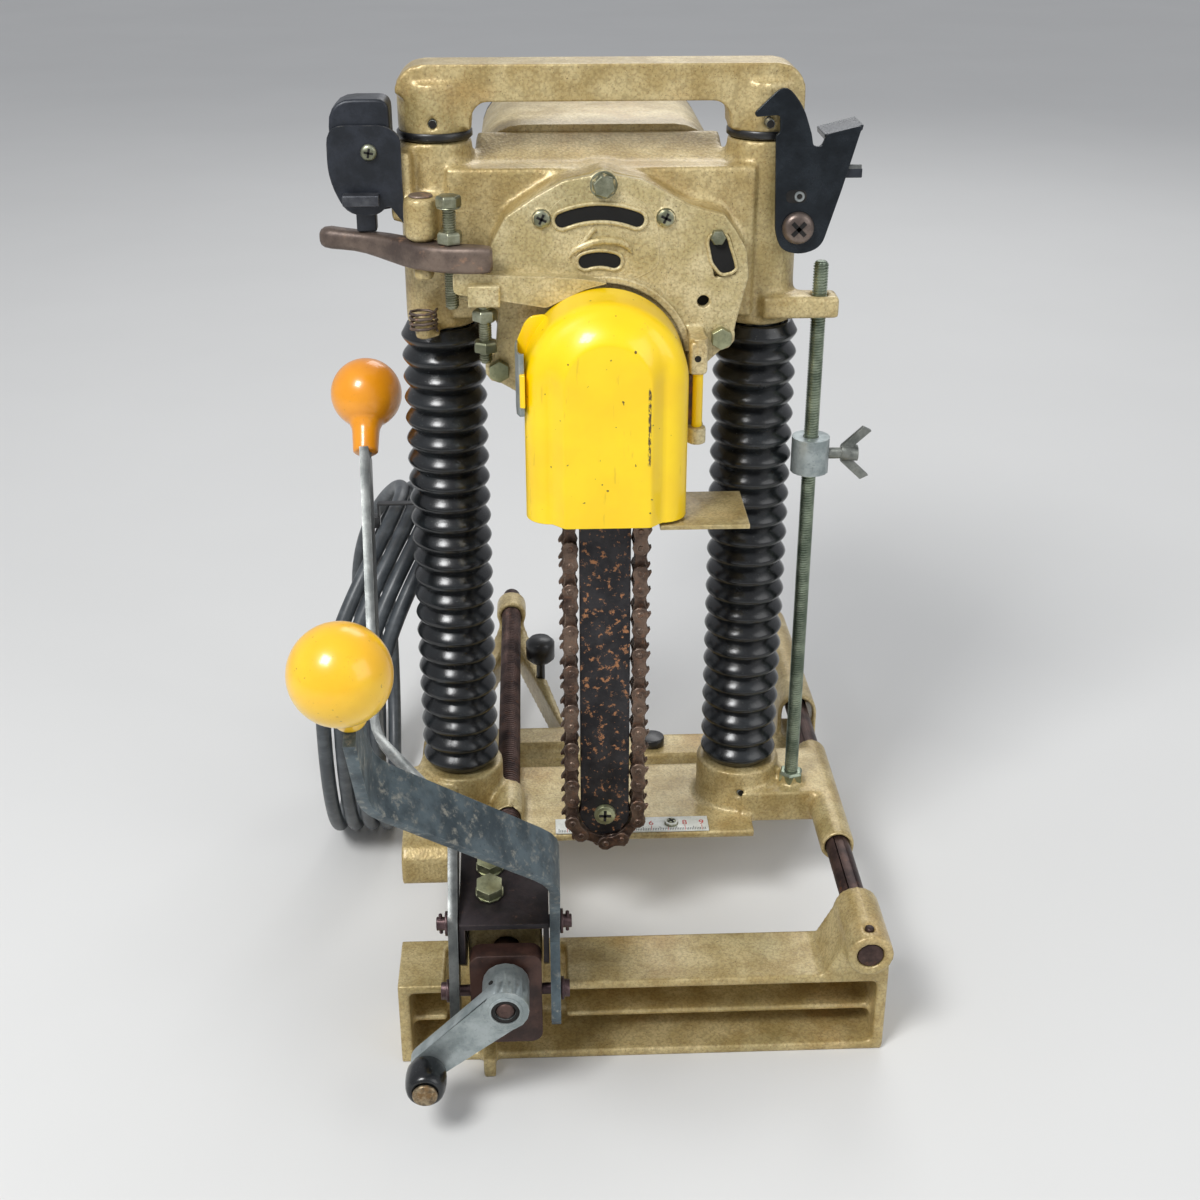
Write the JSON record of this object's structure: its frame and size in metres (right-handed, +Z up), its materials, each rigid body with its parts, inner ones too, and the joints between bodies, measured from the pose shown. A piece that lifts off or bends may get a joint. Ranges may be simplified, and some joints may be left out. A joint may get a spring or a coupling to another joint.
{
  "type": "chain mortiser",
  "caption": "Hand-held chain mortiser with a plunging head on two columns with bellows, a hinged yellow chain cover, a crank-and-lever timber clamp and a coiled mains lead.",
  "frame": {"origin": "Middle of the front jaw's foot, on the surface that the machine stands on, midway between the columns' planes in X.", "axes": "+X to the machine's right, +Y away from the operator, +Z up."},
  "size_m": [0.3326, 0.607, 0.498],
  "materials": {
    "gold_paint": "hammered gold enamel, worn and dusty",
    "yellow_paint": "glossy yellow enamel with black scratches",
    "ball_plastic": "glossy moulded ball",
    "black_rubber": "black, slightly shiny",
    "black_paint": "semi-gloss black",
    "brown_paint": "dark brown, worn",
    "rusty_iron": "rust-brown and rough",
    "bright_steel": "ground steel",
    "zinc_steel": "dull zinc plating",
    "dark_steel": "dark, lightly rusted steel",
    "rusty_copper": "copper brown",
    "white_plate": "white with printed scale",
    "cord_rubber": "grey-black sheath"
  },
  "bodies": {
    "base": {"front_jaw": "gold_paint", "guide_rod": "dark_steel", "clamp_bracket": "brown_paint", "bracket_bolt_front": "zinc_steel", "bracket_bolt_rear": "rusty_iron", "lever_pivot_pin": "rusty_iron"},
    "levers": {"front_lever": "dark_steel", "rear_lever": "dark_steel", "front_ball_knob": "ball_plastic", "rear_ball_knob": "ball_plastic", "lever_link_pin": "rusty_iron"},
    "block": {"screw_block": "brown_paint"},
    "screw": {"lead_screw": "dark_steel", "crank": "zinc_steel", "crank_handle_pin": "rusty_iron"},
    "crank_grip": {"crank_knob": "black_rubber"},
    "rear_clamp": {"rear_jaw": "gold_paint", "rear_jaw_plug": "black_rubber"},
    "lock": {"lock_knob": "black_rubber"},
    "carriage": {"carriage": "gold_paint", "left_column": "bright_steel", "right_column": "bright_steel", "left_bellows": "black_rubber", "right_bellows": "black_rubber", "left_return_spring": "bright_steel", "right_return_spring": "bright_steel", "ruler": "white_plate", "depth_rod": "zinc_steel", "top_handle": "gold_paint", "cord_hank": "cord_rubber", "mains_plug": "black_rubber", "cable_tie": "black_rubber"},
    "collar": {"depth_collar": "zinc_steel"},
    "wing": {"wing_screw": "rusty_copper"},
    "head": {"head_casting": "gold_paint", "motor_housing": "gold_paint", "motor_end_cap": "black_rubber", "motor_stator": "dark_steel", "gear_cover": "gold_paint", "gear_cover_bolt_left": "zinc_steel", "gear_cover_bolt_right": "zinc_steel", "chain": "rusty_iron", "chain_bar": "rusty_iron", "nose_screw": "zinc_steel", "chip_deflector": "gold_paint", "stop_stud": "zinc_steel", "stop_spring": "bright_steel", "switch_box": "black_paint", "latch_screw": "black_paint", "cord_lead": "cord_rubber", "strain_relief": "black_rubber"},
    "motor": {"armature": "rusty_copper"},
    "drive": {"drive_gear": "dark_steel", "sprocket_shaft": "bright_steel"},
    "roller": {"nose_roller": "dark_steel"},
    "cover": {"chain_cover": "yellow_paint"},
    "stop": {"stop_lever": "rusty_iron", "stop_bolt": "zinc_steel"},
    "trigger": {"switch_trigger": "black_paint"},
    "latch": {"latch_hook": "black_paint"}
  },
  "joints": [
    {"name": "lever_swing", "type": "hinge", "parent": "base", "child": "levers", "pos_m": [-0.056, -0.02, 0.092], "axis": [1, 0, 0], "range_deg": [-9, 5]},
    {"name": "block_slide", "type": "slide", "parent": "base", "child": "block", "axis": [0, 1, 0], "range_m": [-0.0055, 0.0032]},
    {"name": "screw_turn", "type": "hinge", "parent": "block", "child": "screw", "pos_m": [-0.056, -0.047, 0.07], "axis": [0, 1, 0], "range_deg": [-720, 1800]},
    {"name": "crank_grip_spin", "type": "hinge", "parent": "screw", "child": "crank_grip", "pos_m": [-0.09675, -0.082, 0.03457], "axis": [0, 1, 0], "continuous": true},
    {"name": "rear_clamp_slide", "type": "slide", "parent": "block", "child": "rear_clamp", "axis": [0, 1, 0], "range_m": [-0.0252, 0.0101]},
    {"name": "lock_turn", "type": "hinge", "parent": "rear_clamp", "child": "lock", "pos_m": [-0.035, 0.308, 0.079], "axis": [0, 0, 1], "range_deg": [-180, 180]},
    {"name": "carriage_slide", "type": "slide", "parent": "base", "child": "carriage", "axis": [0, 1, 0], "range_m": [-0.02, 0.012]},
    {"name": "head_slide", "type": "slide", "parent": "carriage", "child": "head", "axis": [0, 0, 1], "range_m": [-0.062, 0], "stiffness_N_per_m": 1500, "springref_m": 0.16, "deforming": ["left_bellows", "right_bellows", "left_return_spring", "right_return_spring", "cord_lead"]},
    {"name": "collar_slide", "type": "slide", "parent": "carriage", "child": "collar", "axis": [0, 0, 1], "range_m": [-0.18, 0]},
    {"name": "wing_turn", "type": "hinge", "parent": "collar", "child": "wing", "pos_m": [0.134, 0.128, 0.292], "axis": [1, 0, 0], "range_deg": [-180, 180]},
    {"name": "motor_spin", "type": "hinge", "parent": "head", "child": "motor", "pos_m": [0, 0.203, 0.4125], "axis": [0, 1, 0], "continuous": true},
    {"name": "drive_spin", "type": "hinge", "parent": "head", "child": "drive", "pos_m": [0, 0.103, 0.366], "axis": [0, 1, 0], "continuous": true},
    {"name": "roller_spin", "type": "hinge", "parent": "head", "child": "roller", "pos_m": [0, 0.081, 0.0945], "axis": [0, 1, 0], "continuous": true},
    {"name": "cover_swing", "type": "hinge", "parent": "head", "child": "cover", "pos_m": [0.047, 0.081, 0.345], "axis": [0, 0, 1], "range_deg": [0, 100]},
    {"name": "stop_swing", "type": "hinge", "parent": "head", "child": "stop", "pos_m": [-0.09, 0.101, 0.412], "axis": [0, 0, 1], "range_deg": [0, 8], "stiffness_Nm_per_rad": 0.3, "springref_deg": -11.46},
    {"name": "trigger_press", "type": "slide", "parent": "head", "child": "trigger", "axis": [0, 0, 1], "range_m": [0, 0.004], "stiffness_N_per_m": 300, "springref_m": -0.004},
    {"name": "latch_swing", "type": "hinge", "parent": "head", "child": "latch", "pos_m": [0.0998, 0.117, 0.419], "axis": [0, 1, 0], "range_deg": [0, 18], "stiffness_Nm_per_rad": 0.3, "springref_deg": -17.19}
  ],
  "couplings": [
    {"joint": "block_slide", "follows": "lever_swing", "m_per_rad": 0.034},
    {"joint": "rear_clamp_slide", "follows": "screw_turn", "m_per_rad": -0.00079577},
    {"joint": "drive_spin", "follows": "motor_spin", "ratio": -0.34783},
    {"joint": "roller_spin", "follows": "motor_spin", "ratio": -0.34783}
  ]
}
